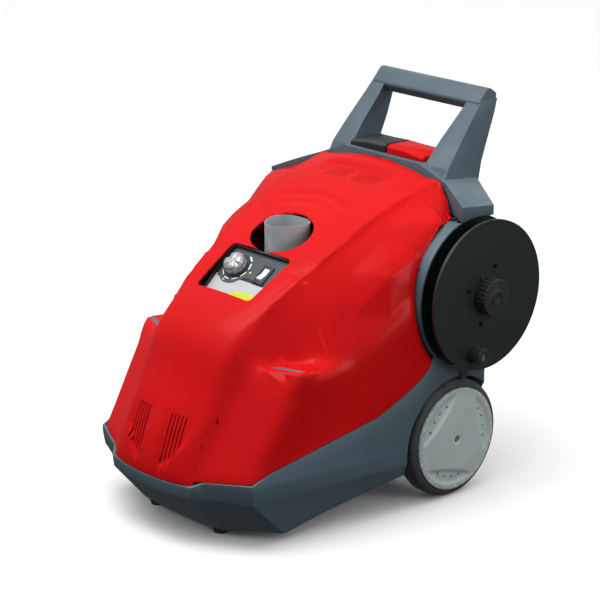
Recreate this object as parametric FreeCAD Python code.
"""Wheeled hot-water pressure washer: hood, tub, hose reel, wheels, boiler, motor and pump.

Drawing frame, in millimetres: X = 0 is the middle plane, Y = 0 the rear axle with the nose
towards -Y, and Z = 0 the floor.  Every piece is drawn there.  export_all() then moves the
whole machine so that its own frame has its origin under the middle of its bounding box.
"""
import FreeCAD
import Part
import math
import os

# ---- overall sizes -------------------------------------------------------------------------
BODY_LENGTH = 860.0        # nose to the back of the tub
BODY_WIDTH = 682.0         # across the two sides of the tub
BODY_HEIGHT = 772.0        # floor to the hood's rear corner
WHEEL_RADIUS = 150.0
WHEEL_WIDTH = 60.0
WHEEL_TRACK = 627.0        # between the middles of the two tyres

# ---- walls and clearances ------------------------------------------------------------------
HOOD_WALL = 4.0
TUB_WALL = 5.0
FRAME_WALL = 5.0
SEAM = 2.0                 # gap between the hood and what it sits on
RUNNING = 0.08             # radial clearance of a shaft in its bush
FREE = 0.5                 # clearance round a loose or sliding piece
ARCH_CLEARANCE = 10.0      # tyre to wheel arch, radially
ARCH_SIDE_CLEARANCE = 10.0  # tyre to the inner wall of the arch

# ---- hose reel -----------------------------------------------------------------------------
REEL_RADIUS = 188.0
REEL_Y = 67.0
REEL_Z = 515.0
REEL_GAP = 73.0            # between the two flanges' outer faces
REEL_FACE_X = 380.0        # outer face of the outer flange
REEL_SHEET = 3.0
REEL_HOLE_RADIUS = 7.5
REEL_HOLE_CIRCLE = 73.0
REEL_HOLE_TURN = 72.0      # degrees from +Y
DRUM_RADIUS = 62.0
DRUM_WALL = 3.0
SPINDLE_RADIUS = 14.0
POCKET_RADIUS = 191.0      # round recess in the tub's side behind the reel
POCKET_RIM = 5.0
POCKET_FLOOR_X = 296.0
BRAKE_KNOB_RADIUS = 46.0
BRAKE_KNOB_LENGTH = 30.0
CRANK_RADIUS = 148.0
CRANK_ANGLE = -107.5       # degrees from +Y, about +X
CRANK_KNOB_RADIUS = 21.0
CRANK_KNOB_LENGTH = 34.0
CRANK_PIN_RADIUS = 5.0

# ---- wheels --------------------------------------------------------------------------------
AXLE_RADIUS = 10.0
TYRE_BORE = 126.0
DISC_BULGE = 9.0
DISC_HOLE_CIRCLE = 98.0
DISC_HOLE_SPACING = 15.5   # degrees between neighbouring holes
DISC_HOLE_TURN = 14.0      # degrees from +Y to the middle of the first group
BUSH_WALL = 4.0
HUB_RADIUS = 26.0

# ---- boiler --------------------------------------------------------------------------------
BOILER_RADIUS = 126.0
BOILER_WALL = 2.0
BOILER_Y = -236.0
BOILER_BOTTOM = 176.0
BOILER_TOP = 520.0
CHIMNEY_RADIUS = 55.0
CHIMNEY_WALL = 1.5
CHIMNEY_TOP = 684.0
CHIMNEY_FORWARD = 12.0     # flue in front of the boiler's axis
CHIMNEY_HOLE_X = 90.0
CHIMNEY_HOLE_Y = 65.0
CHIMNEY_HOLE_SHIFT = -15.0  # hole centre in front of the flue
COIL_RADIUS = 96.0
COIL_TUBE = 9.0
COIL_PITCH = 30.0
COIL_TURNS = 8
COIL_INLET_TURN = 3

# ---- motor, pump and burner ----------------------------------------------------------------
MOTOR_RADIUS = 68.0
MOTOR_LENGTH = 190.0
MOTOR_Y = -520.0
MOTOR_Z = 206.0
SHAFT_RADIUS = 12.0
FAN_RADIUS = 62.0
FAN_WIDTH = 40.0

# ---- control panel -------------------------------------------------------------------------
PANEL_WIDTH_BACK = 212.0
PANEL_WIDTH_FRONT = 192.0
PANEL_DEPTH = 10.0         # below the hood's skin
PANEL_SHEET = 3.0
KNOB_RADIUS = 29.0
KNOB_HEIGHT = 28.0

NOMINAL_LENGTH, NOMINAL_WIDTH, NOMINAL_HEIGHT = 860.0, 682.0, 772.0
KX = BODY_WIDTH / NOMINAL_WIDTH
KY = BODY_LENGTH / NOMINAL_LENGTH
KZ = BODY_HEIGHT / NOMINAL_HEIGHT

# Half width, Y and Z of the crease beside the top panel, from the rear down to the nose, and
# how far the panel's middle bows out from that crease.
RIDGE = [(206, 118, 785, 36), (205, 72, 772, 33), (200, -30, 746, 14), (196, -133, 716, 6),
         (186, -251, 658, 6), (170, -360, 598, 8), (156, -439, 549, 12), (149, -523, 487, 16),
         (150, -585, 384, 20), (145, -640, 280, 22), (143, -690, 154, 22), (142, -704, 110, 22)]

# Y of a cross-section of the flanks, then X, Z of its crease, shoulder, belt and lower edge.
FLANK = [(118, (205, 779), (328, 715), (341, 570), (340, 140)),
         (0, (202, 748), (328, 692), (341, 545), (340, 140)),
         (-128, (196, 711), (303, 640), (341, 515), (340, 140)),
         (-250, (186, 652), (262, 575), (319, 450), (333, 140)),
         (-360, (170, 592), (226, 510), (286, 400), (322, 140)),
         (-440, (156, 543), (194, 440), (252, 330), (306, 140)),
         (-523, (148, 470), (160, 420), (215, 300), (290, 140)),
         (-600, (146, 338), (152, 300), (168, 240), (240, 140))]

# Plan outlines of the lobes beside the nose, at three heights.
LOBE = [(140, [(120, -679), (165, -670), (277, -620), (338, -180), (120, -180)]),
        (176, [(120, -672), (165, -661), (274, -612), (333, -180), (120, -180)]),
        (417, [(120, -545), (173, -516), (281, -466), (296, -447), (312, -180), (120, -180)])]

# Seam between the hood and the tub, Y and Z, from the nose to the rear.
SEAM_LINE = [(-760, 154), (-690, 154), (-664, 166), (-612, 175), (-551, 198), (-449, 220),
             (-346, 243), (-250, 267), (-174, 303), (-109, 341), (-87, 362), (-77, 380)]

# Plan outlines of the tub (right half), at three heights.
TUB_PLAN = [(20, [(0, -606), (80, -605), (130, -600), (152, -594), (266, -502), (272, -131)]),
            (122, [(0, -708), (80, -702), (143, -686), (166, -660), (277, -608), (338, -128)]),
            (156, [(0, -713), (80, -706), (145, -690), (168, -664), (278, -614), (341, -128)])]

FIN_LEVEL = 417.0
TUB_BACK_Y = 150.0
TUB_SIDE_X = 341.0
TUB_CORNER_X = 286.0       # rear corners, cut off behind TUB_CORNER_Y
TUB_CORNER_Y = 105.0
ARCH_FLOOR_Z = 85.0        # underside between the wheels
COLUMN_FLOOR_Z = 262.0     # underside at the rear wall
TOP_SLOT_FRONT = -48.0
TUB_TOP_Z = 698.0
DECK_TOP_Z = 795.0


def vec(x, y, z):
    return FreeCAD.Vector(x, y, z)


def body_point(x, y, z):
    """A point of the body's skin, following the three overall body sizes."""
    return vec(x * KX, y * KY, z * KZ)


def box(x0, x1, y0, y1, z0, z1):
    return Part.makeBox(x1 - x0, y1 - y0, z1 - z0, vec(x0, y0, z0))


def rod_x(x0, x1, y, z, radius):
    return Part.makeCylinder(radius, x1 - x0, vec(x0, y, z), vec(1, 0, 0))


def rod_y(y0, y1, x, z, radius):
    return Part.makeCylinder(radius, y1 - y0, vec(x, y0, z), vec(0, 1, 0))


def rod_z(z0, z1, x, y, radius):
    return Part.makeCylinder(radius, z1 - z0, vec(x, y, z0), vec(0, 0, 1))


def tube_x(x0, x1, y, z, outer, inner):
    return rod_x(x0, x1, y, z, outer).cut(rod_x(x0 - 1, x1 + 1, y, z, inner))


def polygon(points):
    return Part.makePolygon(points + [points[0]])


def prism_x(points, x0, x1):
    """Extrude a Y, Z outline from x0 to x1."""
    face = Part.Face(polygon([vec(x0, y, z) for y, z in points]))
    return face.extrude(vec(x1 - x0, 0, 0))


def prism_z(points, z0, z1):
    """Extrude an X, Y outline from z0 to z1."""
    face = Part.Face(polygon([vec(x, y, z0) for x, y in points]))
    return face.extrude(vec(0, 0, z1 - z0))


def loft(wires, ruled=True):
    return Part.makeLoft(wires, True, ruled)


def fuse(first, *rest):
    return first.multiFuse(list(rest)).removeSplitter() if rest else first


def cut(shape, *tools):
    for tool in tools:
        shape = shape.cut(tool)
    return shape


def mirrored(shape):
    return shape.mirror(vec(0, 0, 0), vec(1, 0, 0))


def both(shape):
    return Part.makeCompound([shape, mirrored(shape)])


def rounded(shape, radius, edges):
    return shape.makeFillet(radius, edges) if edges else shape


# ---- skin of the body ----------------------------------------------------------------------
def ridge_normals():
    """Unit normals of the ridge in the Y, Z plane, one for each of its points."""
    points = [body_point(x, y, z) for x, y, z, _ in RIDGE]
    normals = []
    for i in range(len(points)):
        ahead = points[min(i + 1, len(points) - 1)]
        behind = points[max(i - 1, 0)]
        along = ahead - behind
        normals.append(vec(0, along.z, -along.y).normalize())
    return normals


def top_panel_body(inset, depth=110.0):
    """The bowed slab between the two ridges, from the rear over the crown to the nose."""
    wires = []
    for (x, y, z, bow), normal in zip(RIDGE, ridge_normals()):
        base = body_point(x, y, z) - normal * inset
        half = x * KX - inset
        right = vec(half, base.y, base.z)
        left = vec(-half, base.y, base.z)
        middle = vec(0, base.y, base.z) + normal * bow
        low = normal * (depth - 2 * inset)
        edges = [Part.Arc(right, middle, left).toShape(),
                 Part.LineSegment(left, left - low).toShape(),
                 Part.LineSegment(left - low, right - low).toShape(),
                 Part.LineSegment(right - low, right).toShape()]
        wires.append(Part.Wire(edges))
    return loft(wires, False)


def flank_body(inset):
    """The two flanks, as one solid under the top panel."""
    wires = []
    for y, crease, shoulder, belt, low in FLANK:
        half = [body_point(x, y, z) for x, z in (crease, shoulder, belt, low)]
        shift = [vec(0, 0, -inset), vec(-0.7 * inset, 0, -0.7 * inset), vec(-inset, 0, 0),
                 vec(-inset, 0, 0)]
        right = [p + s for p, s in zip(half, shift)]
        left = [vec(-p.x, p.y, p.z) for p in reversed(right)]
        wires.append(polygon(right + left))
    return loft(wires, True)


def lobe_body(inset):
    """One lobe beside the nose, its flat top carrying the fin insert."""
    wires = []
    count = max(len(outline) for _, outline in LOBE)
    for z, outline in LOBE:
        points = [body_point(x, y, z) for x, y in outline]
        if len(points) < count:
            points.insert(3, points[2] + (points[3] - points[2]) * 0.05)
        moved = []
        for i, p in enumerate(points):
            inward = vec(-inset if i in (2, 3, 4) else 0, inset if i in (0, 1, 2) else 0, 0)
            moved.append(p + inward)
        if z == FIN_LEVEL:
            moved = [p - vec(0, 0, inset) for p in moved]
        wires.append(polygon(moved))
    return loft(wires, True)


def upper_skin(inset):
    lobe = lobe_body(inset)
    return fuse(top_panel_body(inset), flank_body(inset), lobe, mirrored(lobe))


def below_seam(offset):
    """Everything under the seam between hood and tub, lowered or raised by offset."""
    line = [(y * KY, z * KZ + offset) for y, z in SEAM_LINE]
    end_y, end_z = line[-1]
    outline = line + [(end_y, end_z + 20), (end_y + 600, end_z + 20), (end_y + 600, -200),
                      (line[0][0], -200)]
    return prism_x(outline, -600, 600)


def rear_cut(offset):
    """What the hood leaves to the rear: the deck's outline and the round reel pockets."""
    plan = [(-220, 75), (220, 75), (340, 10), (460, 10), (460, 400), (-460, 400), (-460, 10),
            (-340, 10)]
    plan = [(x * KX, y * KY - offset) for x, y in plan]
    rim = POCKET_RADIUS + POCKET_RIM + offset
    pocket = rod_x(POCKET_FLOOR_X * KX - 30, 600, REEL_Y * KY, REEL_Z * KZ, rim)
    return fuse(prism_z(plan, -100, 1100), pocket)


def make_hood():
    shell = cut(upper_skin(0), upper_skin(HOOD_WALL), below_seam(0), rear_cut(SEAM))
    shell = cut(shell, chimney_hole(), panel_opening(), both(nose_slots()), top_slots(),
                both(fin_opening()))
    return biggest(shell)


def biggest(shape):
    return max(shape.Solids, key=lambda solid: solid.Volume)


# ---- openings in the hood ------------------------------------------------------------------
def flue_y():
    return BOILER_Y * KY - CHIMNEY_FORWARD


def chimney_hole():
    ellipse = Part.Ellipse(vec(0, flue_y() + CHIMNEY_HOLE_SHIFT, 500), CHIMNEY_HOLE_X, CHIMNEY_HOLE_Y)
    face = Part.Face(Part.Wire([ellipse.toShape()]))
    return face.extrude(vec(0, 0, 400))


def panel_axes():
    """Middle of the control panel's face, and its unit vectors across, up the slope and out."""
    back = body_point(0, -325, 622)
    front = body_point(0, -446, 531)
    up = (back - front).normalize()
    out = vec(1, 0, 0).cross(up)
    return (back + front) * 0.5, vec(1, 0, 0), up, out, (back - front).Length


def panel_prism(margin, low, high):
    """A trapezium on the control panel's plane, from low to high above its face."""
    middle, across, up, out, length = panel_axes()
    half = length / 2 + margin
    back = PANEL_WIDTH_BACK / 2 + margin
    front = PANEL_WIDTH_FRONT / 2 + margin
    corners = [(-back, half), (back, half), (front, -half), (-front, -half)]
    points = [middle + across * a + up * b + out * low for a, b in corners]
    solid = Part.Face(polygon(points)).extrude(out * (high - low))
    upright = [e for e in solid.Edges if abs(e.Length - (high - low)) < 0.01]
    return rounded(solid, 14 + margin, upright)


def panel_opening():
    return panel_prism(0, -40, 60)


def nose_slots(count=5, pitch=11.0, width=4.5):
    """Upright slots in the right-hand half of the nose."""
    slots = []
    for i in range(count):
        x = 38 + i * pitch
        low = 186 + i * 7
        slots.append(box(x, x + width, -760 * KY, -560 * KY, low * KZ, 300 * KZ))
    return Part.makeCompound(slots)


def top_slots(count=16, pitch=9.5, width=3.0, length=48.0):
    """Two groups of slots in the rear of the top panel."""
    slots = []
    front = TOP_SLOT_FRONT * KY
    for i in range(count):
        x = (i - (count - 1) / 2) * pitch
        x = x + math.copysign(9, x)
        slot = box(x, x + width, front, front + length, 690 * KZ, 850 * KZ)
        slots.append(slot)
    return Part.makeCompound(slots)


def fin_outline(margin):
    points = [(196, -490), (274, -459), (284, -441), (209, -466)]
    middle = vec(241 * KX, -464 * KY, 0)
    outline = []
    for x, y in points:
        p = vec(x * KX, y * KY, 0)
        outward = (p - middle).normalize() * margin
        outline.append((p.x + outward.x, p.y + outward.y))
    return outline


def fin_opening():
    return prism_z(fin_outline(0), FIN_LEVEL * KZ - 12, FIN_LEVEL * KZ + 12)


def make_fin():
    """Grey insert in the flat top of a lobe: a plate through the skin on a wider flange."""
    top = FIN_LEVEL * KZ
    plate = prism_z(fin_outline(-FREE), top - HOOD_WALL - 2, top - 1)
    flange = prism_z(fin_outline(4), top - HOOD_WALL - 4, top - HOOD_WALL)
    return fuse(plate, flange)


# ---- tub -----------------------------------------------------------------------------------
def plan_wire(points, z, inset):
    right = []
    for x, y in points:
        right.append(vec(x * KX - (inset if x > 120 else 0), y * KY + (inset if y < 0 else 0), z))
    left = [vec(-p.x, p.y, p.z) for p in reversed(right) if p.x > 0.01]
    return polygon(right + left)


def tub_lower(inset):
    """The dish under the hood, from its flat bottom out to the rim."""
    bottom = TUB_PLAN[0][0] + inset
    outlines = []
    for z, outline in TUB_PLAN:
        outlines.append((max(z, bottom), outline + [(outline[-1][0], 60)]))
    top_z, top_outline = outlines[-1]
    wires = [plan_wire(outline, z * KZ, inset) for z, outline in outlines]
    dish = loft(wires, True)
    wall = loft([plan_wire(top_outline, top_z * KZ, inset),
                 plan_wire(top_outline, 420 * KZ, inset)], True)
    return fuse(dish, wall)


def rear_column(inset):
    """The tub's tall back, which carries the reel on its side and the tanks inside."""
    back = TUB_BACK_Y - inset
    side = TUB_SIDE_X * KX - inset
    corner = TUB_CORNER_X * KX - inset
    plan = [(-side, -128 * KY), (side, -128 * KY), (side, TUB_CORNER_Y), (corner, back), (-corner, back),
            (-side, TUB_CORNER_Y)]
    return prism_z(plan, (85 + inset) * KZ, TUB_TOP_Z * KZ)


def sloping_floor(inset):
    """What lies under the tub's floor as it rises towards the rear."""
    outline = [(-800, -50), (-800, 20 + inset), (-500 * KY, 20 + inset),
               (-131 * KY, ARCH_FLOOR_Z + inset), (40, ARCH_FLOOR_Z + inset),
               (TUB_BACK_Y, COLUMN_FLOOR_Z + inset),
               (400, COLUMN_FLOOR_Z + inset), (400, -50)]
    return prism_x(outline, -600, 600)


def wheel_space(inset):
    """Room for a wheel, with its clearance; inset makes it larger, for the arch's inner side."""
    inner_x = WHEEL_TRACK / 2 - WHEEL_WIDTH / 2 - ARCH_SIDE_CLEARANCE - inset
    radius = WHEEL_RADIUS + ARCH_CLEARANCE + inset
    well = rod_x(inner_x, 600, 0, WHEEL_RADIUS, radius)
    behind = box(inner_x, 600, 0, 400, -50, WHEEL_RADIUS + 60)
    return fuse(well, behind.common(rod_x(inner_x, 600, 0, WHEEL_RADIUS, radius + 30)))


def hood_side():
    """The hood's share of the body: above the seam and in front of the tub's tall back."""
    return cut(box(-600, 600, -900, 400, -100, 1200), below_seam(-SEAM), rear_cut(0))


def make_tub():
    outer = fuse(tub_lower(0), rear_column(0))
    outer = cut(outer, sloping_floor(0), both(wheel_space(0)), hood_side())
    inner = fuse(tub_lower(TUB_WALL), tub_cavity())
    inner = cut(inner, sloping_floor(TUB_WALL), both(wheel_space(TUB_WALL)))
    shell = fuse(cut(outer, inner), pocket_wall())
    return biggest(cut(shell, reel_pocket(), spindle_hole(), axle_slots(), back_wall_holes()))


def tub_cavity():
    """The hollow of the tub's back, closed behind and beside, open to the front and top."""
    side = POCKET_FLOOR_X * KX - TUB_WALL
    corner = TUB_CORNER_X * KX - TUB_WALL
    plan = [(-side, -400 * KY), (side, -400 * KY), (side, TUB_CORNER_Y), (corner, TUB_BACK_Y - TUB_WALL),
            (-corner, TUB_BACK_Y - TUB_WALL), (-side, TUB_CORNER_Y)]
    return prism_z(plan, 85 * KZ + TUB_WALL, 900 * KZ)


def reel_pocket():
    return rod_x(POCKET_FLOOR_X * KX, 600, REEL_Y * KY, REEL_Z * KZ, POCKET_RADIUS)


def spindle_hole():
    floor = POCKET_FLOOR_X * KX
    return rod_x(floor - 20, floor + 1, REEL_Y * KY, REEL_Z * KZ, SPINDLE_RADIUS)


def pocket_wall():
    """The pocket's floor and rim, where nothing else of the tub stands behind them."""
    drum = rod_x(POCKET_FLOOR_X * KX - TUB_WALL, TUB_SIDE_X * KX, REEL_Y * KY, REEL_Z * KZ,
                 POCKET_RADIUS + POCKET_RIM)
    return drum.common(box(0, 600, -400, TUB_CORNER_Y, 0, TUB_TOP_Z * KZ))


def axle_slots():
    return rod_x(-500, 500, 0, WHEEL_RADIUS, AXLE_RADIUS + FREE)


# ---- deck and handle -----------------------------------------------------------------------
def deck_body(inset):
    """Deck behind the hood: level in the middle, falling to a high wing over the reel on the
    right and to a low shoulder on the left."""
    base_z = TUB_TOP_Z * KZ + (SEAM if inset == 0 else -20)
    wires = []
    for y, drop in ((5, 0), (212, 24)):
        top = [(341, 738 - drop), (206, 776 - drop), (130, DECK_TOP_Z), (-130, DECK_TOP_Z),
               (-206, 776 - drop), (-341, 710)]
        line = []
        for x, z in top:
            shift = math.copysign(inset, x) if abs(x) > 300 else 0
            line.append(vec(x * KX - shift, y * KY, z * KZ - inset))
        line.append(vec(line[-1].x, y * KY, base_z))
        line.append(vec(line[0].x, y * KY, base_z))
        wires.append(polygon(line))
    plan = [(-340, 12), (-222, 77), (222, 77), (340, 12), (341, 123), (206, 206), (-206, 206),
            (-341, 123)]
    moved = []
    for x, y in plan:
        sign = math.copysign(1, x)
        moved.append((x * KX - sign * inset, y * KY + (inset if y < 100 else -inset)))
    return loft(wires).common(prism_z(moved, 0, 1200))


LEG_SECTIONS = [(742, [(207, 80), (130, 86), (146, 206), (206, 212)]),
                (790, [(205, 104), (131, 97), (148, 218), (204, 224)]),
                (846, [(199, 152), (137, 146), (150, 246), (198, 252)]),
                (905, [(192, 206), (142, 206), (154, 272), (193, 280)]),
                (938, [(189, 236), (146, 236), (158, 284), (190, 292)])]
GRIP_SECTION = [(226, 931), (257, 964), (270, 966), (292, 950), (290, 926), (244, 906)]
GRIP_HALF = 187.0
GRIP_ROUND = 9.0


def leg_body(inset):
    wires = []
    for z, corners in LEG_SECTIONS:
        middle_x = sum(x for x, _ in corners) / 4
        middle_y = sum(y for _, y in corners) / 4
        points = []
        for x, y in corners:
            dx = math.copysign(inset, x - middle_x)
            dy = math.copysign(inset, y - middle_y)
            points.append(body_point(x, y, z) - vec(dx, dy, 0))
        wires.append(polygon(points))
    return loft(wires, True)


def make_handle():
    deck = cut(deck_body(0), deck_body(FRAME_WALL), both(neck_room()))
    leg = cut(leg_body(0), deck_body(FRAME_WALL))
    shift = [(y * KY, z * KZ) for y, z in GRIP_SECTION]
    grip = prism_x(shift, -GRIP_HALF * KX, GRIP_HALF * KX)
    along = [e for e in grip.Edges if abs(e.Length - 2 * GRIP_HALF * KX) < 0.01]
    grip = rounded(grip, GRIP_ROUND, along)
    knuckle = make_knuckle()
    frame = fuse(deck, leg, mirrored(leg), grip, knuckle, mirrored(knuckle))
    frame = cut(frame, both(pin_room()))
    reel_room = rod_x(POCKET_FLOOR_X * KX, 600, REEL_Y * KY, REEL_Z * KZ, POCKET_RADIUS - 1)
    return biggest(cut(frame, reel_room, mirrored(reel_room)))


# ---- filler lids and tanks -----------------------------------------------------------------
LID_INNER = 4.0
LID_OUTER = 127.0
LID_FRONT = 92.0
HINGE_Y = 192.0
LID_RISE = 22.0
LID_PIN_RADIUS = 2.5
KNUCKLE_RADIUS = 6.0
KNUCKLE_WIDTH = 24.0
NECK_X = 65.0
NECK_LOW_Y = 102.0
NECK_TOP_Y = 132.0
NECK_RADIUS = 27.0
NECK_WALL = 3.0
TANK_FRONT = 34.0
TANK_BACK = 140.0
TANK_LOW = 385.0
TANK_HIGH = 650.0
TANK_WALL = 4.0
TANK_GAP = 24.0            # between the two tanks
TANK_OUTER_X = 205.0


def hinge_line():
    """Y and Z of the lids' common hinge line."""
    return HINGE_Y * KY, DECK_TOP_Z * KZ + FREE + KNUCKLE_RADIUS


def lid_middle():
    return (LID_INNER + LID_OUTER) / 2 * KX


def make_lid():
    """The right-hand lid: a crowned cap, hollow below, with a barrel along its rear edge."""
    x0, x1 = LID_INNER * KX, LID_OUTER * KX
    pin_y, pin_z = hinge_line()
    front = LID_FRONT * KY
    deck = DECK_TOP_Z * KZ + FREE
    wires = []
    for x, lift in ((x0, LID_RISE), ((x0 + x1) / 2, LID_RISE - 2), (x1, LID_RISE - 9)):
        wires.append(polygon([vec(x, front, deck), vec(x, front, deck + lift - 5),
                              vec(x, front + 9, deck + lift), vec(x, pin_y - 14, deck + lift - 3),
                              vec(x, pin_y, deck + 2 * KNUCKLE_RADIUS), vec(x, pin_y, deck)]))
    barrel = rod_x(x0, x1, pin_y, pin_z, KNUCKLE_RADIUS)
    cap = fuse(loft(wires, True), barrel)
    hollow = box(x0 + 5, x1 - 5, front + 5, pin_y - 14, deck - 1, deck + 7)
    bore = rod_x(x0 - 5, x1 + 5, pin_y, pin_z, LID_PIN_RADIUS + RUNNING)
    half = KNUCKLE_WIDTH / 2 + 4 * FREE
    gap = box(lid_middle() - half, lid_middle() + half, pin_y - 3 * KNUCKLE_RADIUS, pin_y + 40,
              deck - 20, deck + 80)
    return cut(cap, hollow, bore, gap)


def make_hinge_pins():
    pin_y, pin_z = hinge_line()
    return both(rod_x(LID_INNER * KX + 1, LID_OUTER * KX - 1, pin_y, pin_z, LID_PIN_RADIUS))


def make_knuckle():
    """The deck's knuckle that carries a lid's hinge pin."""
    pin_y, pin_z = hinge_line()
    x0 = lid_middle() - KNUCKLE_WIDTH / 2
    x1 = lid_middle() + KNUCKLE_WIDTH / 2
    low = DECK_TOP_Z * KZ - 2 * FRAME_WALL
    foot = box(x0, x1, pin_y - KNUCKLE_RADIUS, pin_y + KNUCKLE_RADIUS, low, pin_z)
    return fuse(foot, rod_x(x0, x1, pin_y, pin_z, KNUCKLE_RADIUS))


def pin_room():
    pin_y, pin_z = hinge_line()
    return rod_x(LID_INNER * KX, LID_OUTER * KX, pin_y, pin_z, LID_PIN_RADIUS)


def neck_body(radius, low, high):
    """A filler neck's slanted column between two heights."""
    start, end = TANK_HIGH * KZ - 10, DECK_TOP_Z * KZ
    slope = (NECK_TOP_Y - NECK_LOW_Y) * KY / (end - start)
    rings = []
    for z in (low, high):
        y = NECK_LOW_Y * KY + slope * (z - start)
        rings.append(Part.Wire([Part.Circle(vec(NECK_X * KX, y, z), vec(0, 0, 1), radius).toShape()]))
    return loft(rings, True)


def neck_room():
    """The hole in the deck round one filler neck."""
    return neck_body(NECK_RADIUS + FREE, DECK_TOP_Z * KZ - 60, DECK_TOP_Z * KZ + 40)


def make_tank():
    """The right-hand tank in the tub's back, with its filler neck."""
    x0, x1 = TANK_GAP / 2, TANK_OUTER_X * KX
    z0, z1 = TANK_LOW * KZ, TANK_HIGH * KZ
    outer = box(x0, x1, TANK_FRONT, TANK_BACK, z0, z1)
    outer = rounded(outer, 12, outer.Edges)
    w = TANK_WALL
    inner = box(x0 + w, x1 - w, TANK_FRONT + w, TANK_BACK - w, z0 + w, z1 - w)
    neck = neck_body(NECK_RADIUS, z1 - 10, DECK_TOP_Z * KZ + 5)
    bore = neck_body(NECK_RADIUS - NECK_WALL, z1 - 20, DECK_TOP_Z * KZ + 20)
    return cut(fuse(outer, neck), inner, bore)


# ---- wheels --------------------------------------------------------------------------------
def wheel_middle():
    return WHEEL_TRACK / 2


def revolve_about_axle(profile):
    """Turn an X, radius outline about the axle."""
    points = [vec(x, 0, WHEEL_RADIUS + r) for x, r in profile]
    face = Part.Face(polygon(points))
    return face.revolve(vec(0, 0, WHEEL_RADIUS), vec(1, 0, 0), 360)


def make_tyre():
    half = WHEEL_WIDTH / 2
    x = wheel_middle()
    r = WHEEL_RADIUS
    profile = [(x - half, TYRE_BORE), (x - half, r - 12), (x - half + 5, r - 4),
               (x - half + 14, r), (x + half - 14, r), (x + half - 5, r - 4),
               (x + half, r - 12), (x + half, TYRE_BORE + 4), (x + half - 6, TYRE_BORE)]
    return revolve_about_axle(profile)


def make_wheel_disc():
    """Moulded wheel: rim, bulged outer face and hub barrel."""
    half = WHEEL_WIDTH / 2
    x = wheel_middle()
    face = x + half
    bore = AXLE_RADIUS + BUSH_WALL
    hub = HUB_RADIUS
    profile = [(x - half, TYRE_BORE - 6), (x - half, TYRE_BORE), (face - 6, TYRE_BORE),
               (face, TYRE_BORE + 4), (face + 5, TYRE_BORE + 4), (face + DISC_BULGE, 80),
               (face + DISC_BULGE, 20), (face + DISC_BULGE, bore), (x - half, bore),
               (x - half, hub), (face, hub), (face + DISC_BULGE - 5, 80),
               (face - 2, TYRE_BORE - 6)]
    disc = revolve_about_axle(profile)
    holes = []
    for i in range(3):
        for j in range(4):
            turn = 120 * i + DISC_HOLE_TURN + (j - 1.5) * DISC_HOLE_SPACING
            y = DISC_HOLE_CIRCLE * math.cos(math.radians(turn))
            z = WHEEL_RADIUS + DISC_HOLE_CIRCLE * math.sin(math.radians(turn))
            holes.append(rod_x(face - 20, face + 30, y, z, 3))
    return cut(disc, Part.makeCompound(holes))


def make_bush():
    x = wheel_middle()
    half = WHEEL_WIDTH / 2
    inner = AXLE_RADIUS + RUNNING
    return tube_x(x - half - 2, x + half + DISC_BULGE - 1, 0, WHEEL_RADIUS,
                  AXLE_RADIUS + BUSH_WALL, inner)


def axle_half():
    return wheel_middle() + WHEEL_WIDTH / 2 + DISC_BULGE - 4


def make_axle():
    return rod_x(-axle_half(), axle_half(), 0, WHEEL_RADIUS, AXLE_RADIUS)


def bracket_x():
    return wheel_middle() - WHEEL_WIDTH / 2 - ARCH_SIDE_CLEARANCE - TUB_WALL - 22


def make_axle_bracket():
    """Steel saddle that ties the axle to the chassis plate."""
    x = bracket_x()
    low = chassis_level() + CHASSIS_SHEET
    plate = box(x - 3, x + 3, -34, 34, low, WHEEL_RADIUS + 24)
    foot = box(x - 40, x + 3, -34, 34, low, low + 4)
    bore = rod_x(x - 10, x + 10, 0, WHEEL_RADIUS, AXLE_RADIUS)
    return cut(fuse(plate, foot), bore)


def make_axle_washer():
    x = wheel_middle() - WHEEL_WIDTH / 2 - 2
    return tube_x(x - 3.5, x - 0.5, 0, WHEEL_RADIUS, AXLE_RADIUS + 9, AXLE_RADIUS)


# ---- chassis and feet ----------------------------------------------------------------------
def chassis_level():
    """Underside of the chassis plate, which is the top of the tub's rear floor."""
    return 85 * KZ + TUB_WALL


def floor_level(y):
    """Top of the tub's floor at a nominal Y."""
    share = min(max((y + 500) / 369, 0), 1)
    return (20 + share * 65) * KZ + TUB_WALL


CHASSIS_HALF = 226.0
CHASSIS_SHEET = 4.0
CHASSIS_FRONT = -560.0
CHASSIS_BACK = 38.0
POST_RADIUS = 12.0
FOOT_X = 118.0
FOOT_Y = -572.0
FOOT_RADIUS = 22.0


def make_chassis():
    """Pressed steel plate on the tub's floor, on four posts where the floor drops away."""
    z = chassis_level()
    plan = [(-CHASSIS_HALF, CHASSIS_BACK), (CHASSIS_HALF, CHASSIS_BACK),
            (CHASSIS_HALF, -490 * KY), (130, CHASSIS_FRONT * KY), (-130, CHASSIS_FRONT * KY),
            (-CHASSIS_HALF, -490 * KY)]
    plate = prism_z(plan, z, z + CHASSIS_SHEET)
    posts = []
    for x, y in ((168, -514), (-168, -514), (100, -544), (-100, -544)):
        posts.append(rod_z(floor_level(y), z, x, y * KY, POST_RADIUS))
    return fuse(plate, *posts)


def make_foot():
    """Rubber foot under the tub's front edge."""
    return Part.makeCone(FOOT_RADIUS - 5, FOOT_RADIUS, 20 * KZ, vec(FOOT_X, FOOT_Y * KY, 0))


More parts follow.
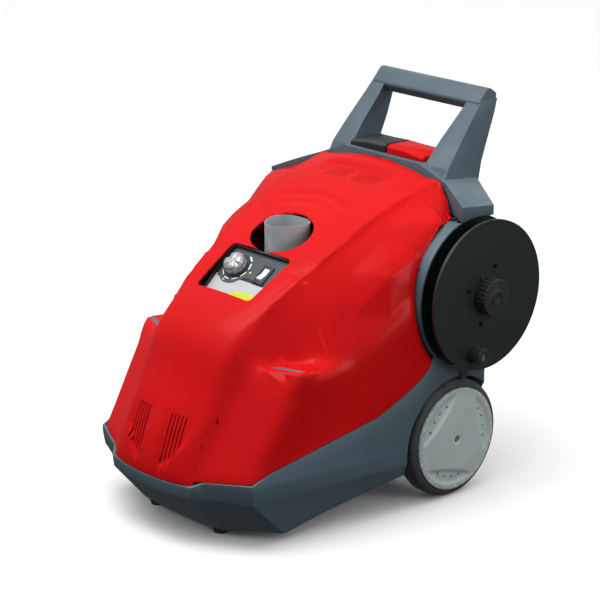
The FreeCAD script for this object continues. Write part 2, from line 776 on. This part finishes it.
# ---- hose reel -----------------------------------------------------------------------------
def reel_disc(x0, x1):
    disc = rod_x(x0, x1, REEL_Y * KY, REEL_Z * KZ, REEL_RADIUS)
    holes = []
    for i in range(4):
        angle = math.radians(REEL_HOLE_TURN + 90 * i)
        y = REEL_Y * KY + REEL_HOLE_CIRCLE * math.cos(angle)
        z = REEL_Z * KZ + REEL_HOLE_CIRCLE * math.sin(angle)
        holes.append(rod_x(x0 - 1, x1 + 1, y, z, REEL_HOLE_RADIUS))
    bore = rod_x(x0 - 1, x1 + 1, REEL_Y * KY, REEL_Z * KZ, REEL_HUB_RADIUS)
    return cut(disc, Part.makeCompound(holes), bore)


REEL_HUB_RADIUS = 22.0
REEL_TURN_GAP = 0.6


def reel_inner_x():
    return REEL_FACE_X * KX - REEL_GAP


def make_reel_outer():
    face = REEL_FACE_X * KX
    disc = reel_disc(face - REEL_SHEET, face)
    lip = tube_x(face - 8, face, REEL_Y * KY, REEL_Z * KZ, REEL_RADIUS, REEL_RADIUS - REEL_SHEET)
    y, z = crank_centre()
    return cut(fuse(disc, lip), rod_x(face - 20, face + 20, y, z, CRANK_PIN_RADIUS))


def make_reel_inner():
    face = reel_inner_x()
    disc = reel_disc(face, face + REEL_SHEET)
    lip = tube_x(face, face + 8, REEL_Y * KY, REEL_Z * KZ, REEL_RADIUS, REEL_RADIUS - REEL_SHEET)
    return fuse(disc, lip)


def make_drum():
    return tube_x(reel_inner_x() + REEL_SHEET, REEL_FACE_X * KX - REEL_SHEET, REEL_Y * KY,
                  REEL_Z * KZ, DRUM_RADIUS, DRUM_RADIUS - DRUM_WALL)


def make_reel_hub():
    return tube_x(reel_inner_x(), REEL_FACE_X * KX, REEL_Y * KY, REEL_Z * KZ, REEL_HUB_RADIUS,
                  SPINDLE_RADIUS + RUNNING)


def make_spindle():
    """Fixed hollow spindle: a flange on the pocket floor and a journal through the reel."""
    floor = POCKET_FLOOR_X * KX
    y, z = REEL_Y * KY, REEL_Z * KZ
    flange = rod_x(floor, reel_inner_x() - REEL_TURN_GAP, y, z, 34)
    journal = rod_x(floor - 40, REEL_FACE_X * KX + 14, y, z, SPINDLE_RADIUS)
    bore = rod_x(floor - 50, REEL_FACE_X * KX - 20, y, z, 6)
    return cut(fuse(flange, journal), bore)


def ribbed_rod_x(x0, x1, y, z, radius, ribs, rib_radius):
    """A knob with half-round grooves along its side."""
    body = rod_x(x0, x1, y, z, radius)
    body = rounded(body, 2, [e for e in body.Edges if e.Length > 6 * radius])
    grooves = []
    for i in range(ribs):
        angle = 2 * math.pi * i / ribs
        gy = y + (radius + rib_radius * 0.35) * math.cos(angle)
        gz = z + (radius + rib_radius * 0.35) * math.sin(angle)
        grooves.append(rod_x(x0 - 1, x1 + 1, gy, gz, rib_radius))
    return body.cut(Part.makeCompound(grooves))


def make_brake_knob():
    start = REEL_FACE_X * KX + REEL_TURN_GAP
    y, z = REEL_Y * KY, REEL_Z * KZ
    knob = ribbed_rod_x(start, start + BRAKE_KNOB_LENGTH, y, z, BRAKE_KNOB_RADIUS, 24, 3)
    cap = tube_x(start + BRAKE_KNOB_LENGTH - 3, start + BRAKE_KNOB_LENGTH + 2, y, z,
                 SPINDLE_RADIUS + 3, SPINDLE_RADIUS)
    bore = rod_x(start - 1, REEL_FACE_X * KX + 14.5, y, z, SPINDLE_RADIUS + RUNNING)
    return cut(fuse(knob, cap), bore)


def crank_centre():
    angle = math.radians(CRANK_ANGLE)
    return (REEL_Y * KY + CRANK_RADIUS * math.cos(angle),
            REEL_Z * KZ + CRANK_RADIUS * math.sin(angle))


def make_crank_pin():
    y, z = crank_centre()
    face = REEL_FACE_X * KX
    head = rod_x(face + 2 + CRANK_KNOB_LENGTH - 8, face + CRANK_KNOB_LENGTH - 3, y, z, 8.5)
    return fuse(rod_x(face - 8, face + CRANK_KNOB_LENGTH - 5, y, z, CRANK_PIN_RADIUS), head)


def make_crank_knob():
    y, z = crank_centre()
    face = REEL_FACE_X * KX + REEL_TURN_GAP
    end = face + CRANK_KNOB_LENGTH
    knob = ribbed_rod_x(face, end, y, z, CRANK_KNOB_RADIUS, 14, 2.4)
    bore = rod_x(face - 1, end + 1, y, z, CRANK_PIN_RADIUS + RUNNING)
    head_room = rod_x(end - 7.2, end + 1, y, z, 9.2)
    return cut(knob, bore, head_room)


def make_reel_guide():
    """Black guide block in the lower front of the reel pocket."""
    floor = POCKET_FLOOR_X * KX
    block = box(floor, floor + 9, REEL_Y * KY - 90, REEL_Y * KY - 50, REEL_Z * KZ - 163,
                REEL_Z * KZ - 120)
    upright = [e for e in block.Edges if abs(e.Length - 9) < 0.01]
    return rounded(block, 5, upright)


def make_reel_stop():
    """Small tapered rubber stop under the reel pocket."""
    side = TUB_SIDE_X * KX
    z = REEL_Z * KZ - POCKET_RADIUS - POCKET_RIM
    points = [(12, z + 2), (40, z + 2), (35, z - 16), (17, z - 16)]
    return prism_x(points, side, side + 5)


def make_swivel():
    """Brass swivel on the inner end of the spindle."""
    end = POCKET_FLOOR_X * KX - 40
    y, z = REEL_Y * KY, REEL_Z * KZ
    body = rod_x(end - 30, end + 20, y, z, 20)
    nut = rod_z(z - 44, z, end - 14, y, 11)
    bore = rod_x(end - 1, end + 30, y, z, SPINDLE_RADIUS)
    return cut(fuse(body, nut), bore)


# ---- boiler --------------------------------------------------------------------------------
def make_boiler_shell():
    y = BOILER_Y * KY
    outer = rod_z(BOILER_BOTTOM * KZ, BOILER_TOP * KZ, 0, y, BOILER_RADIUS)
    inner = rod_z(BOILER_BOTTOM * KZ + BOILER_WALL, BOILER_TOP * KZ - BOILER_WALL, 0, y,
                  BOILER_RADIUS - BOILER_WALL)
    flue = rod_z(BOILER_TOP * KZ - 20, BOILER_TOP * KZ + 5, 0, flue_y(), CHIMNEY_RADIUS - 8)
    port = rod_y(y - 200, y, 0, burner_level(), BLAST_RADIUS + FREE)
    ports = [rod_x(COIL_RADIUS, BOILER_RADIUS + 10, y, z, PIPE_RADIUS)
             for z in (coil_level(COIL_INLET_TURN), coil_level(COIL_TURNS - 1))]
    return cut(outer, inner, flue, port, *ports)


def coil_level(turn):
    return BOILER_BOTTOM * KZ + 50 + turn * COIL_PITCH


def make_boiler_stand():
    """Sheet-steel ring that lifts the boiler off the chassis."""
    low = chassis_level() + CHASSIS_SHEET
    y = BOILER_Y * KY
    ring = cut(rod_z(low, BOILER_BOTTOM * KZ, 0, y, BOILER_RADIUS - 10),
               rod_z(low - 1, BOILER_BOTTOM * KZ + 1, 0, y, BOILER_RADIUS - 13))
    axle_room = rod_x(-400, 400, 0, WHEEL_RADIUS, AXLE_RADIUS + 20)
    return cut(ring, axle_room)


def make_coil():
    """Heating coil, drawn as level turns joined by two risers."""
    y = BOILER_Y * KY
    turns = [Part.makeTorus(COIL_RADIUS, COIL_TUBE, vec(0, y, coil_level(i)))
             for i in range(COIL_TURNS)]
    riser = rod_z(coil_level(0), coil_level(COIL_TURNS - 1), COIL_RADIUS, y, COIL_TUBE - 1)
    return fuse(*turns, riser)


def lobed_wire(radius, z):
    """Closed outline of the flue: a circle pressed into three soft lobes."""
    points = []
    for i in range(36):
        angle = math.radians(10 * i)
        r = radius * (1 + 0.07 * math.cos(3 * (angle + math.pi / 2)))
        points.append(vec(r * math.cos(angle), flue_y() + r * math.sin(angle), z))
    curve = Part.BSplineCurve()
    curve.interpolate(points, PeriodicFlag=True)
    return Part.Wire([curve.toShape()])


def make_chimney():
    """Flue of folded sheet with its seam in front, closed by two rivets."""
    low = BOILER_TOP * KZ
    height = (CHIMNEY_TOP - BOILER_TOP) * KZ
    outer = Part.Face(lobed_wire(CHIMNEY_RADIUS, low)).extrude(vec(0, 0, height))
    inner = Part.Face(lobed_wire(CHIMNEY_RADIUS - CHIMNEY_WALL, low - 1))
    inner = inner.extrude(vec(0, 0, height + 2))
    y = flue_y() - CHIMNEY_RADIUS * 0.93
    seam = box(-7, 7, y - 1.2, y + 1.2, low, low + height)
    tube = cut(fuse(outer, seam), inner)
    high = CHIMNEY_TOP * KZ
    rivets = [rod_y(y - 3, y - 1.2, 0, high - drop, 2.6) for drop in (12, 42)]
    return Part.makeCompound([tube] + rivets)


# ---- burner --------------------------------------------------------------------------------
BLAST_RADIUS = 29.0
BURNER_MOTOR_RADIUS = 34.0
BURNER_SHAFT_RADIUS = 6.0
BURNER_SHEET = 2.5


def burner_level():
    return 330 * KZ


def burner_back():
    """Y of the blower's rear face, just clear of the boiler."""
    return BOILER_Y * KY - BOILER_RADIUS - 10


def blower_x():
    return -42.0


def make_blower_housing():
    back = burner_back()
    front = back - FAN_WIDTH - 2 * BURNER_SHEET - 8
    z = burner_level()
    outer = rod_y(front, back, blower_x(), z, FAN_RADIUS + 12)
    inner = rod_y(front + BURNER_SHEET, back - BURNER_SHEET, blower_x(), z,
                  FAN_RADIUS + 12 - BURNER_SHEET)
    shaft_hole = rod_y(front - 1, front + 20, blower_x(), z, BURNER_SHAFT_RADIUS + 4)
    tube = rod_y(back - 1, back + 24, 0, z, BLAST_RADIUS)
    tube_bore = rod_y(back - 10, back + 25, 0, z, BLAST_RADIUS - BURNER_SHEET)
    return cut(fuse(cut(outer, inner), tube), shaft_hole, tube_bore)


def make_blower_fan():
    """Wheel with radial blades on its own shaft."""
    back = burner_back() - BURNER_SHEET - 4
    z = burner_level()
    x = blower_x()
    plate = rod_y(back - FAN_WIDTH, back - FAN_WIDTH + 2, x, z, FAN_RADIUS)
    hub = rod_y(back - FAN_WIDTH, back - 8, x, z, 12)
    shaft = rod_y(burner_motor_front() + 12, back - FAN_WIDTH + 1, x, z, BURNER_SHAFT_RADIUS)
    blades = []
    for i in range(16):
        blade = box(x + 34, x + FAN_RADIUS - 1, back - FAN_WIDTH + 1, back - 2, z - 0.8, z + 0.8)
        blades.append(blade.rotate(vec(x, 0, z), vec(0, 1, 0), 22.5 * i))
    return fuse(plate, hub, shaft, *blades)


def burner_motor_front():
    return burner_back() - FAN_WIDTH - 2 * BURNER_SHEET - 8 - 62


def make_burner_motor():
    front = burner_motor_front()
    z = burner_level()
    body = rod_y(front, front + 62, blower_x(), z, BURNER_MOTOR_RADIUS)
    bore = rod_y(front + 10, front + 70, blower_x(), z, BURNER_SHAFT_RADIUS + RUNNING)
    return cut(body, bore)


def make_fuel_pump():
    front = burner_motor_front()
    z = burner_level()
    x = blower_x()
    body = rod_y(front - 34, front, x, z, 20)
    port = rod_z(z, z + 30, x, front - 18, 6)
    return fuse(body, port)


def make_transformer():
    back = burner_back()
    low = burner_level() + FAN_RADIUS + 12 - 4
    body = box(blower_x() - 36, blower_x() + 36, back - 50, back - 4, low, low + 48)
    seat = rod_y(back - 60, back, blower_x(), burner_level(), FAN_RADIUS + 12)
    return cut(body, seat)


# ---- motor and pump ------------------------------------------------------------------------
MOTOR_X = -160.0
PUMP_WIDTH = 74.0
PUMP_DEPTH = 86.0
PUMP_HEIGHT = 80.0
COUPLING_RADIUS = 20.0
PIPE_RADIUS = 7.0


def motor_end():
    return MOTOR_X + MOTOR_LENGTH


def motor_y():
    return MOTOR_Y * KY


def motor_z():
    return MOTOR_Z * KZ


def make_motor():
    """Induction motor: finned barrel on two feet, bored for its shaft."""
    x0, x1 = MOTOR_X, motor_end()
    y, z = motor_y(), motor_z()
    barrel = rod_x(x0, x1, y, z, MOTOR_RADIUS - 5)
    fins = [rod_x(x0 + 14 + 12 * i, x0 + 18 + 12 * i, y, z, MOTOR_RADIUS) for i in range(14)]
    low = chassis_level() + CHASSIS_SHEET
    feet = [box(x, x + 34, y - 56, y + 56, low, z - MOTOR_RADIUS * 0.5) for x in (x0 + 20, x1 - 54)]
    bore = rod_x(x0 + 20, x1 + 1, y, z, SHAFT_RADIUS + RUNNING)
    return cut(fuse(barrel, *fins, *feet), bore)


def make_shaft():
    """Motor shaft and its coupling to the pump."""
    x1 = motor_end()
    y, z = motor_y(), motor_z()
    shaft = rod_x(MOTOR_X + 22, x1 + 44, y, z, SHAFT_RADIUS)
    coupling = rod_x(x1 + 4, x1 + 26, y, z, COUPLING_RADIUS)
    return fuse(shaft, coupling)


def make_bell_housing():
    """Ring between the motor's flange and the pump."""
    x1 = motor_end()
    y, z = motor_y(), motor_z()
    return tube_x(x1, x1 + 30, y, z, COUPLING_RADIUS + 14, COUPLING_RADIUS + 4)


def make_pump():
    x0 = motor_end() + 30
    y, z = motor_y(), motor_z()
    case = box(x0, x0 + PUMP_WIDTH, y - PUMP_DEPTH / 2, y + PUMP_DEPTH / 2, z - PUMP_HEIGHT / 2,
               z + PUMP_HEIGHT / 2)
    case = rounded(case, 5, case.Edges)
    head = box(x0 + 12, x0 + PUMP_WIDTH - 12, y - PUMP_DEPTH / 2 - 26, y - PUMP_DEPTH / 2 + 6,
               z - 30, z + 30)
    foot = box(x0 + 8, x0 + 66, y - 30, y + 30, chassis_level() + CHASSIS_SHEET, z - 30)
    bore = rod_x(x0 - 1, x0 + 16, y, z, SHAFT_RADIUS + RUNNING)
    return cut(fuse(case, head, foot), bore)


def pump_middle():
    return motor_end() + 30 + PUMP_WIDTH / 2


def make_unloader():
    """Brass pressure valve screwed into the pump's top, with its adjusting knob."""
    z = motor_z() + PUMP_HEIGHT / 2
    body = box(pump_middle() - 15, pump_middle() + 15, motor_y() - 15, motor_y() + 15, z, z + 42)
    return fuse(body, rod_z(z + 42, z + 64, pump_middle(), motor_y(), 11))


def bent_pipe(points, radius, bend):
    """A pipe of straight runs with one round bend at each inner point."""
    edges = []
    start = points[0]
    for before, corner, after in zip(points, points[1:], points[2:]):
        come = (corner - before).normalize()
        leave = (after - corner).normalize()
        half = come.getAngle(leave) / 2
        reach = bend * math.tan(half)
        first = corner - come * reach
        last = corner + leave * reach
        bulge = (leave - come).normalize()
        middle = corner + bulge * (bend / math.cos(half) - bend)
        edges.append(Part.LineSegment(start, first).toShape())
        edges.append(Part.Arc(first, middle, last).toShape())
        start = last
    edges.append(Part.LineSegment(start, points[-1]).toShape())
    spine = Part.Wire(edges)
    section = Part.Wire([Part.Circle(points[0], points[1] - points[0], radius).toShape()])
    return spine.makePipeShell([section], True, False)


def make_inlet_pipe():
    """Water pipe from the inlet at the rear to the pump."""
    z = inlet_level()
    x = -INLET_X
    low = chassis_level() + CHASSIS_SHEET + 16
    turn = AXLE_RADIUS + 2 * PIPE_RADIUS + 2
    points = [vec(x, TUB_BACK_Y - TUB_WALL - 12, z), vec(x, turn, z), vec(x, turn, low),
              vec(-176, turn, low), vec(-176, motor_y() + 96, low),
              vec(pump_middle(), motor_y() + 96, low),
              vec(pump_middle(), motor_y() + 96, motor_z() - 12),
              vec(pump_middle(), motor_y() + PUMP_DEPTH / 2, motor_z() - 12)]
    return bent_pipe(points, PIPE_RADIUS, 14)


def make_boiler_feed_pipe():
    """Pressure pipe from the valve on the pump to the coil in the boiler."""
    z = motor_z() + PUMP_HEIGHT / 2 + 22
    x = pump_middle() + 15
    y = BOILER_Y * KY
    high = coil_level(COIL_INLET_TURN)
    side = BOILER_RADIUS + 32
    end = COIL_RADIUS + COIL_TUBE + FREE
    points = [vec(x, motor_y(), z), vec(side, motor_y(), z), vec(side, motor_y(), high),
              vec(side, y, high), vec(end, y, high)]
    return bent_pipe(points, PIPE_RADIUS - 1, 12)


def make_reel_feed_pipe():
    """Pressure pipe from the coil's top to the swivel of the hose reel."""
    y = BOILER_Y * KY
    low = coil_level(COIL_TURNS - 1)
    x = POCKET_FLOOR_X * KX - 54
    high = REEL_Z * KZ - 44
    reach = REEL_Y * KY
    side = BOILER_RADIUS + 34
    points = [vec(COIL_RADIUS + COIL_TUBE + FREE, y, low), vec(side, y, low),
              vec(side, reach - 62, low), vec(x, reach - 62, low), vec(x, reach, low),
              vec(x, reach, high)]
    return bent_pipe(points, PIPE_RADIUS - 1, 12)


# ---- water inlet and cable gland -----------------------------------------------------------
INLET_X = 120.0
INLET_RADIUS = 13.2
INLET_LENGTH = 20.0
GLAND_X = 60.0
GLAND_RADIUS = 11.0
CABLE_HOLE_RADIUS = 4.5


def inlet_level():
    return 326 * KZ


def make_inlet():
    """Threaded water connector through the tub's back."""
    z = inlet_level()
    back = TUB_BACK_Y
    spigot = rod_y(back, back + INLET_LENGTH + 6, -INLET_X, z, INLET_RADIUS)
    collar = rod_y(back, back + 6, -INLET_X, z, INLET_RADIUS + 5)
    tail = rod_y(back - TUB_WALL - 12, back, -INLET_X, z, INLET_RADIUS - 3)
    bore = rod_y(back - 2, back + 60, -INLET_X, z, INLET_RADIUS - 3.5)
    return cut(fuse(spigot, collar, tail), bore)


def make_gland():
    z = inlet_level()
    back = TUB_BACK_Y
    body = rod_y(back - TUB_WALL - 10, back + 8, -GLAND_X, z, GLAND_RADIUS - 3)
    nut = rod_y(back, back + 14, -GLAND_X, z, GLAND_RADIUS)
    bore = rod_y(back - 40, back + 60, -GLAND_X, z, CABLE_HOLE_RADIUS)
    return cut(fuse(body, nut), bore)


def back_wall_holes():
    z = inlet_level()
    back = TUB_BACK_Y
    inlet = rod_y(back - 30, back + 10, -INLET_X, z, INLET_RADIUS - 3)
    gland = rod_y(back - 30, back + 10, -GLAND_X, z, GLAND_RADIUS - 3)
    return fuse(inlet, gland)


# ---- control panel -------------------------------------------------------------------------
KNOB_AT = (-50.0, 20.0)
SWITCH_AT = (48.0, 18.0)
LAMP_AT = (80.0, -22.0)
SWITCH_WIDTH = 26.0
SWITCH_LENGTH = 46.0
SWITCH_FRAME = 4.0
ROCKER_PIVOT = 2.0         # pivot above the tray
ROCKER_TILT = 9.0          # each way from level; drawn switched off


def on_panel(shape, at=(0.0, 0.0)):
    """Move a shape drawn on Z = 0, X across and Y up the slope, to a place on the panel."""
    middle, across, up, out, length = panel_axes()
    turn = FreeCAD.Rotation(across, up, out, "ZXY")
    origin = middle - out * PANEL_DEPTH + across * at[0] + up * at[1]
    moved = shape.copy()
    moved.Placement = FreeCAD.Placement(origin, turn).multiply(moved.Placement)
    return moved


def make_panel():
    """Tray behind the hood's opening: a sheet, a low wall round it and a fixing flange."""
    low = -PANEL_DEPTH - PANEL_SHEET
    sheet = panel_prism(-FREE, low, -PANEL_DEPTH)
    wall = cut(panel_prism(-FREE, low, -2), panel_prism(-FREE - 2.5, low - 1, 5))
    flange = panel_prism(7, low - 1.5, low + 1)
    knob_hole = on_panel(rod_z(-20, 20, 0, 0, 5), KNOB_AT)
    half_w = SWITCH_WIDTH / 2 - SWITCH_FRAME / 2
    half_l = SWITCH_LENGTH / 2 - SWITCH_FRAME / 2
    switch_hole = on_panel(box(-half_w, half_w, -half_l, half_l, -20, 20), SWITCH_AT)
    lamp_hole = on_panel(rod_z(-20, 20, 0, 0, 4), LAMP_AT)
    return cut(fuse(sheet, wall, flange), knob_hole, switch_hole, lamp_hole)


def make_panel_film():
    """Printed film on the lower part of the tray."""
    sheet = panel_prism(-4, -PANEL_DEPTH, -PANEL_DEPTH + 0.5)
    upper = on_panel(box(-200, 200, -12, 200, -5, 5))
    return cut(sheet, upper, on_panel(rod_z(-5, 5, 0, 0, KNOB_RADIUS + 9), KNOB_AT),
               on_panel(box(-20, 20, -31, 31, -5, 5), SWITCH_AT),
               on_panel(rod_z(-5, 5, 0, 0, 7), LAMP_AT))


def make_thermostat():
    """Thermostat body under the tray, its dial ring on top and a spindle for the knob."""
    ring = rod_z(0, 2.5, 0, 0, KNOB_RADIUS + 8)
    spindle = rod_z(-30, 12, 0, 0, 3)
    neck = rod_z(-PANEL_SHEET - 4, 0, 0, 0, 5)
    body = box(-20, 20, -20, 20, -34, -PANEL_SHEET - 1.5)
    return on_panel(fuse(ring, spindle, neck, body), KNOB_AT)


def make_thermostat_knob():
    """Scalloped knob with a pointer ridge."""
    body = rod_z(3, 3 + KNOB_HEIGHT, 0, 0, KNOB_RADIUS)
    body = rounded(body, 3, [e for e in body.Edges if e.BoundBox.ZMin > 4 and e.Length > 60])
    scallops = []
    for i in range(8):
        angle = math.radians(22.5 + 45 * i)
        x = (KNOB_RADIUS + 4.5) * math.cos(angle)
        y = (KNOB_RADIUS + 4.5) * math.sin(angle)
        scallops.append(rod_z(9, 40, x, y, 8))
    bore = rod_z(0, 12.5, 0, 0, 3 + RUNNING)
    return on_panel(cut(body, Part.makeCompound(scallops), bore), KNOB_AT)


def make_switch():
    """Frame of the main switch, with two side walls and a pivot pin for the rocker."""
    w, l, f = SWITCH_WIDTH / 2, SWITCH_LENGTH / 2, SWITCH_FRAME
    frame = box(-w - f, w + f, -l - f, l + f, 0, 5)
    body = box(-w + f / 2, w - f / 2, -l + f / 2, l - f / 2, -26, 0.5)
    window = box(-w + f, w - f, -l + f, l - f, -12, 10)
    pin = rod_x(-w + f / 2, w - f / 2, 0, ROCKER_PIVOT, 1.5)
    return on_panel(fuse(cut(fuse(frame, body), window), pin), SWITCH_AT)


def make_rocker():
    """Rocker with two faces meeting at a shallow angle, drawn switched off."""
    half_w = SWITCH_WIDTH / 2 - SWITCH_FRAME - FREE
    half_l = SWITCH_LENGTH / 2 - SWITCH_FRAME - 1.2
    outline = [(-half_l, -3), (-half_l, 8), (0, 5), (half_l, 8), (half_l, -3), (0, -5)]
    solid = prism_x(outline, -half_w, half_w)
    bore = rod_x(-half_w - 1, half_w + 1, 0, ROCKER_PIVOT, 1.5 + RUNNING)
    tilted = cut(solid, bore)
    tilted.rotate(vec(0, 0, ROCKER_PIVOT), vec(1, 0, 0), -ROCKER_TILT)
    return on_panel(tilted, SWITCH_AT)


def make_lamp():
    lens = Part.makeSphere(5.5, vec(0, 0, 0), vec(0, 0, 1), 0, 90, 360)
    return on_panel(fuse(lens, rod_z(-PANEL_SHEET - 8, 0, 0, 0, 4)), LAMP_AT)


def make_electrical_box():
    """Switchgear box behind the tray's lower half, in front of the boiler's top."""
    return on_panel(box(-88, 88, -58, -26, -PANEL_SHEET - 46, -PANEL_SHEET - 1.5))


# ---- fasteners -----------------------------------------------------------------------------
def make_reel_bolts():
    """Bolt heads that clamp the outer flange to the drum."""
    heads = []
    face = REEL_FACE_X * KX
    for i in range(4):
        angle = math.radians(REEL_HOLE_TURN + 45 + 90 * i)
        y = REEL_Y * KY + (DRUM_RADIUS - 8) * math.cos(angle)
        z = REEL_Z * KZ + (DRUM_RADIUS - 8) * math.sin(angle)
        heads.append(rod_x(face, face + 3.5, y, z, 5))
    return Part.makeCompound(heads)


# ---- assembly ------------------------------------------------------------------------------
def make_pieces():
    tyre, disc, bush = make_tyre(), make_wheel_disc(), make_bush()
    lid, tank, fin = make_lid(), make_tank(), make_fin()
    return {
        "hood": make_hood(),
        "fin_insert_right": fin,
        "fin_insert_left": mirrored(fin),
        "tub": make_tub(),
        "handle_frame": make_handle(),
        "fuel_lid": mirrored(lid),
        "detergent_lid": lid,
        "lid_hinge_pins": make_hinge_pins(),
        "fuel_tank": mirrored(tank),
        "detergent_tank": tank,
        "tyre_right": tyre,
        "tyre_left": mirrored(tyre),
        "wheel_disc_right": disc,
        "wheel_disc_left": mirrored(disc),
        "wheel_bush_right": bush,
        "wheel_bush_left": mirrored(bush),
        "axle": make_axle(),
        "axle_brackets": both(make_axle_bracket()),
        "axle_washers": both(make_axle_washer()),
        "chassis_plate": make_chassis(),
        "front_feet": both(make_foot()),
        "reel_outer_flange": make_reel_outer(),
        "reel_inner_flange": make_reel_inner(),
        "reel_drum": make_drum(),
        "reel_hub": make_reel_hub(),
        "reel_bolts": make_reel_bolts(),
        "reel_spindle": make_spindle(),
        "reel_swivel": make_swivel(),
        "reel_brake_knob": make_brake_knob(),
        "crank_pin": make_crank_pin(),
        "crank_knob": make_crank_knob(),
        "reel_guide": make_reel_guide(),
        "reel_stop": make_reel_stop(),
        "boiler_shell": make_boiler_shell(),
        "boiler_stand": make_boiler_stand(),
        "heating_coil": make_coil(),
        "chimney": make_chimney(),
        "blower_housing": make_blower_housing(),
        "blower_fan": make_blower_fan(),
        "burner_motor": make_burner_motor(),
        "fuel_pump": make_fuel_pump(),
        "ignition_transformer": make_transformer(),
        "main_motor": make_motor(),
        "motor_shaft": make_shaft(),
        "bell_housing": make_bell_housing(),
        "water_pump": make_pump(),
        "unloader_valve": make_unloader(),
        "inlet_pipe": make_inlet_pipe(),
        "boiler_feed_pipe": make_boiler_feed_pipe(),
        "reel_feed_pipe": make_reel_feed_pipe(),
        "water_inlet": make_inlet(),
        "cable_gland": make_gland(),
        "control_panel": make_panel(),
        "electrical_box": make_electrical_box(),
        "panel_film": make_panel_film(),
        "thermostat": make_thermostat(),
        "thermostat_knob": make_thermostat_knob(),
        "switch_frame": make_switch(),
        "switch_rocker": make_rocker(),
        "indicator_lamp": make_lamp(),
    }


def machine_origin(pieces):
    """The middle of the whole machine's footprint, on the floor."""
    bounds = FreeCAD.BoundBox()
    for shape in pieces.values():
        bounds.add(shape.optimalBoundingBox(False))
    return vec(-bounds.Center.x, -bounds.Center.y, -bounds.ZMin)


def export_all():
    os.makedirs("parts", exist_ok=True)
    pieces = make_pieces()
    shift = machine_origin(pieces)
    for name, shape in pieces.items():
        moved = shape.copy()
        moved.translate(shift)
        moved.exportStep("parts/" + name + ".step")
    print("pieces:", len(pieces), "moved by", [round(v, 3) for v in shift])


export_all()
